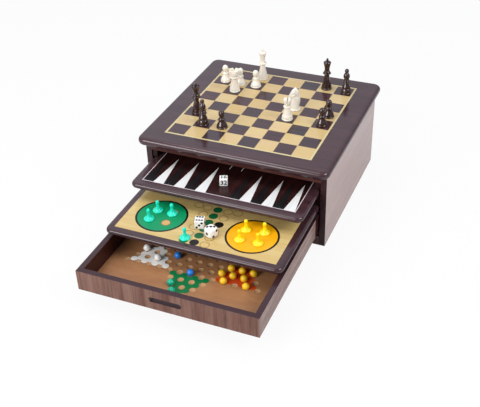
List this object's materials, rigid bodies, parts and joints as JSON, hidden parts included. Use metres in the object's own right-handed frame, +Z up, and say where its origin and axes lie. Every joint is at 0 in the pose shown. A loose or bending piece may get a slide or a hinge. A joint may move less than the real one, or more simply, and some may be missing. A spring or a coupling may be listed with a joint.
{
  "type": "games compendium box",
  "caption": "Wooden games box: inlaid chess board lid, sliding backgammon and ludo trays, and a drawer floored with a marble star, all pulled out with men, dice and marbles set for play.",
  "frame": {"origin": "centre of the carcass's footprint, on the surface the box stands on", "axes": "+Z up; the open trays and drawer point to -Y, the front; +X to the right of a player at the front"},
  "size_m": [0.302, 0.5125, 0.193],
  "materials": {
    "dark_frame": "satin lacquer over dark stained veneer",
    "dark_square": "satin lacquer",
    "pale_square": "satin lacquer",
    "pale_line": "satin lacquer",
    "side_veneer": "satin lacquer over brown stained veneer",
    "back_veneer": "satin lacquer over brown stained veneer",
    "bottom_board": "sealed board",
    "apron_veneer": "satin lacquer over red-brown stained veneer",
    "runner_wood": "planed and stained",
    "backgammon_ground": "satin lacquer",
    "pale_point": "satin lacquer",
    "black_point": "satin lacquer",
    "ludo_maple": "satin lacquer over printed maple veneer",
    "drawer_veneer": "satin lacquer over streaked brown veneer",
    "drawer_wall_wood": "satin lacquer over red-brown stain",
    "drawer_floor_board": "printed and sealed board",
    "ivory_man": "gloss lacquer over pale wood",
    "brown_man": "gloss lacquer over dark stained wood",
    "green_plastic": "moulded, glossy",
    "yellow_plastic": "moulded, glossy",
    "white_plastic": "moulded, polished",
    "white_glass": "opaque glass, polished",
    "blue_glass": "opaque glass, polished",
    "green_glass": "opaque glass, polished",
    "yellow_glass": "opaque glass, polished"
  },
  "bodies": {
    "carcass": {"chess_lid": "dark_frame", "chess_squares_dark": "dark_square", "chess_squares_light": "pale_square", "chess_stringing": "pale_line", "side_panel_left": "side_veneer", "side_panel_right": "side_veneer", "back_panel": "back_veneer", "bottom_panel": "bottom_board", "front_apron": "apron_veneer", "top_cleats": "runner_wood", "tray_runners": "runner_wood", "drawer_guides": "runner_wood", "drawer_skids": "runner_wood", "chessmen_white": "ivory_man", "chessmen_dark": "brown_man"},
    "backgammon_tray": {"backgammon_board": "dark_frame", "backgammon_field": "backgammon_ground", "backgammon_points_light": "pale_point", "backgammon_points_dark": "black_point", "backgammon_lines": "pale_line", "doubling_cube": "white_plastic"},
    "ludo_tray": {"ludo_board": "dark_frame", "ludo_panel": "ludo_maple", "ludo_men_green": "green_plastic", "ludo_men_yellow": "yellow_plastic", "die_square": "white_plastic", "die_rounded": "white_plastic"},
    "drawer": {"drawer_front": "drawer_veneer", "drawer_side_left": "drawer_wall_wood", "drawer_side_right": "drawer_wall_wood", "drawer_back": "drawer_wall_wood", "drawer_floor": "drawer_floor_board", "marbles_white": "white_glass", "marbles_blue": "blue_glass", "marbles_green": "green_glass", "marbles_yellow": "yellow_glass"}
  },
  "joints": [
    {"name": "backgammon_slide", "type": "slide", "parent": "carcass", "child": "backgammon_tray", "axis": [0, -1, 0], "range_m": [-0.065, 0.16]},
    {"name": "ludo_slide", "type": "slide", "parent": "carcass", "child": "ludo_tray", "axis": [0, -1, 0], "range_m": [-0.1465, 0.0785]},
    {"name": "drawer_slide", "type": "slide", "parent": "carcass", "child": "drawer", "axis": [0, -1, 0], "range_m": [-0.225, 0.01]}
  ]
}
